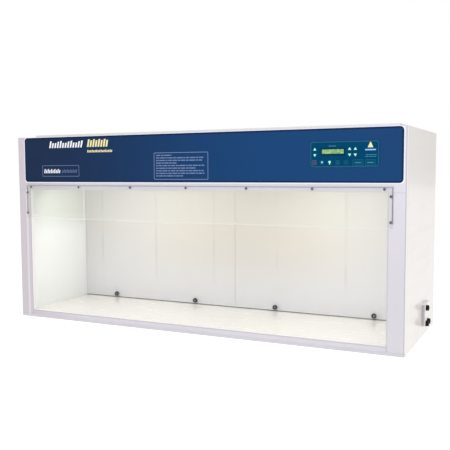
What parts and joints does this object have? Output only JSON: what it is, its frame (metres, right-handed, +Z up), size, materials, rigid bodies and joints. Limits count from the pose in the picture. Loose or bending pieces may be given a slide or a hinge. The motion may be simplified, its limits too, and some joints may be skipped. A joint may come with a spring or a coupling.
{
  "type": "filtered laboratory workstation cabinet",
  "caption": "Wide bench-top filtered workstation: open-fronted chamber with clear fixed visor, swing-out rear baffles, keypad fascia, and lamps, filters and fans above.",
  "frame": {"origin": "middle of the underside of the base pan, midway between the side panels and between the front frame and the rear cover, on the bench surface", "axes": "+X to the right as seen from the open front, +Y from the open front to the back, +Z up"},
  "size_m": [1.856, 0.6415, 0.868],
  "materials": {
    "frame_paint": "semi-gloss lavender grey powder coat",
    "side_white": "warm white semi-gloss sheet",
    "floor_white": "glossy cream white work surface",
    "baffle_paint": "semi-gloss pale grey beige",
    "plain_steel": "plain zinc-plated sheet and rod",
    "black_plastic": "moulded black",
    "knob_plastic": "moulded dark grey",
    "gasket_grey": "pale grey closed-cell strip",
    "label_blue": "printed fascia film, satin",
    "overlay_teal": "membrane keypad film",
    "key_teal": "embossed membrane key",
    "display": "backlit display glass",
    "visor_clear": "clear sheet",
    "board": "printed circuit board",
    "filter_media": "pleated carbon and fibre media in a rigid frame",
    "prefilter_pad": "open fibre pad",
    "lamp_glass": "frosted tube",
    "uv_glass": "clear quartz tube"
  },
  "bodies": {
    "cabinet": {"base_pan": "frame_paint", "left_post": "frame_paint", "right_post": "frame_paint", "front_rail": "frame_paint", "header_panel": "frame_paint", "left_side_panel": "side_white", "right_side_panel": "side_white", "rear_cover": "side_white", "top_deck": "side_white", "chamber_ceiling": "side_white", "left_lamp_holder": "side_white", "right_lamp_holder": "side_white", "service_box": "side_white", "work_surface": "floor_white", "baffle_hinge_rod": "plain_steel", "baffle_rail": "plain_steel", "front_filter_rail": "plain_steel", "rear_filter_rail": "plain_steel", "left_fan_motor": "plain_steel", "right_fan_motor": "plain_steel", "lamp_ballast": "plain_steel", "left_fan_housing": "black_plastic", "right_fan_housing": "black_plastic", "service_fitting_1": "black_plastic", "service_fitting_2": "black_plastic", "service_fitting_3": "black_plastic", "visor_gasket": "gasket_grey", "fascia_label": "label_blue", "keypad_overlay": "overlay_teal", "lcd_module": "display", "visor": "visor_clear", "controller_board": "board", "left_filter": "filter_media", "right_filter": "filter_media", "left_prefilter": "prefilter_pad", "right_prefilter": "prefilter_pad", "white_lamp": "lamp_glass", "uv_lamp": "uv_glass"},
    "exhaust_cover": {"exhaust_cover": "side_white"},
    "left_baffle": {"left_baffle": "baffle_paint"},
    "right_baffle": {"right_baffle": "baffle_paint"},
    "left_fan": {"left_fan_impeller": "black_plastic"},
    "right_fan": {"right_fan_impeller": "black_plastic"},
    "baffle_knob_1": {"baffle_knob_1": "knob_plastic"},
    "baffle_knob_2": {"baffle_knob_2": "knob_plastic"},
    "baffle_knob_3": {"baffle_knob_3": "knob_plastic"},
    "baffle_knob_4": {"baffle_knob_4": "knob_plastic"},
    "power_key": {"power_key": "key_teal"},
    "uv_key": {"uv_key": "key_teal"},
    "lamp_key": {"lamp_key": "key_teal"},
    "fan_key": {"fan_key": "key_teal"},
    "timer_key": {"timer_key": "key_teal"},
    "mute_key": {"mute_key": "key_teal"},
    "enter_key": {"enter_key": "key_teal"},
    "left_up_key": {"left_up_key": "key_teal"},
    "left_down_key": {"left_down_key": "key_teal"},
    "middle_up_key": {"middle_up_key": "key_teal"},
    "middle_down_key": {"middle_down_key": "key_teal"},
    "right_up_key": {"right_up_key": "key_teal"},
    "right_down_key": {"right_down_key": "key_teal"}
  },
  "joints": [
    {"name": "exhaust_cover_lift", "type": "slide", "parent": "cabinet", "child": "exhaust_cover", "axis": [0, 0, 1], "range_m": [0, 0.25]},
    {"name": "left_baffle_swing", "type": "hinge", "parent": "cabinet", "child": "left_baffle", "pos_m": [0, 0.1688, 0.612], "axis": [-1, 0, 0], "range_deg": [0, 35]},
    {"name": "right_baffle_swing", "type": "hinge", "parent": "cabinet", "child": "right_baffle", "pos_m": [0, 0.1688, 0.612], "axis": [-1, 0, 0], "range_deg": [0, 35]},
    {"name": "baffle_knob_1_turn", "type": "hinge", "parent": "left_baffle", "child": "baffle_knob_1", "pos_m": [-0.6925, 0.1622, 0.046], "axis": [0, 1, 0], "continuous": true},
    {"name": "baffle_knob_2_turn", "type": "hinge", "parent": "left_baffle", "child": "baffle_knob_2", "pos_m": [-0.2195, 0.1622, 0.046], "axis": [0, 1, 0], "continuous": true},
    {"name": "baffle_knob_3_turn", "type": "hinge", "parent": "right_baffle", "child": "baffle_knob_3", "pos_m": [0.2115, 0.1622, 0.046], "axis": [0, 1, 0], "continuous": true},
    {"name": "baffle_knob_4_turn", "type": "hinge", "parent": "right_baffle", "child": "baffle_knob_4", "pos_m": [0.685, 0.1622, 0.046], "axis": [0, 1, 0], "continuous": true},
    {"name": "left_fan_spin", "type": "hinge", "parent": "cabinet", "child": "left_fan", "pos_m": [-0.45, -0.04, 0.798], "axis": [0, 0, 1], "continuous": true},
    {"name": "right_fan_spin", "type": "hinge", "parent": "cabinet", "child": "right_fan", "pos_m": [0.45, -0.04, 0.798], "axis": [0, 0, 1], "continuous": true},
    {"name": "power_key_press", "type": "slide", "parent": "cabinet", "child": "power_key", "axis": [0, 1, 0], "range_m": [0, 0.0005], "stiffness_N_per_m": 2000},
    {"name": "uv_key_press", "type": "slide", "parent": "cabinet", "child": "uv_key", "axis": [0, 1, 0], "range_m": [0, 0.0005], "stiffness_N_per_m": 2000},
    {"name": "lamp_key_press", "type": "slide", "parent": "cabinet", "child": "lamp_key", "axis": [0, 1, 0], "range_m": [0, 0.0005], "stiffness_N_per_m": 2000},
    {"name": "fan_key_press", "type": "slide", "parent": "cabinet", "child": "fan_key", "axis": [0, 1, 0], "range_m": [0, 0.0005], "stiffness_N_per_m": 2000},
    {"name": "timer_key_press", "type": "slide", "parent": "cabinet", "child": "timer_key", "axis": [0, 1, 0], "range_m": [0, 0.0005], "stiffness_N_per_m": 2000},
    {"name": "mute_key_press", "type": "slide", "parent": "cabinet", "child": "mute_key", "axis": [0, 1, 0], "range_m": [0, 0.0005], "stiffness_N_per_m": 2000},
    {"name": "enter_key_press", "type": "slide", "parent": "cabinet", "child": "enter_key", "axis": [0, 1, 0], "range_m": [0, 0.0005], "stiffness_N_per_m": 2000},
    {"name": "left_up_key_press", "type": "slide", "parent": "cabinet", "child": "left_up_key", "axis": [0, 1, 0], "range_m": [0, 0.0005], "stiffness_N_per_m": 2000},
    {"name": "left_down_key_press", "type": "slide", "parent": "cabinet", "child": "left_down_key", "axis": [0, 1, 0], "range_m": [0, 0.0005], "stiffness_N_per_m": 2000},
    {"name": "middle_up_key_press", "type": "slide", "parent": "cabinet", "child": "middle_up_key", "axis": [0, 1, 0], "range_m": [0, 0.0005], "stiffness_N_per_m": 2000},
    {"name": "middle_down_key_press", "type": "slide", "parent": "cabinet", "child": "middle_down_key", "axis": [0, 1, 0], "range_m": [0, 0.0005], "stiffness_N_per_m": 2000},
    {"name": "right_up_key_press", "type": "slide", "parent": "cabinet", "child": "right_up_key", "axis": [0, 1, 0], "range_m": [0, 0.0005], "stiffness_N_per_m": 2000},
    {"name": "right_down_key_press", "type": "slide", "parent": "cabinet", "child": "right_down_key", "axis": [0, 1, 0], "range_m": [0, 0.0005], "stiffness_N_per_m": 2000}
  ]
}
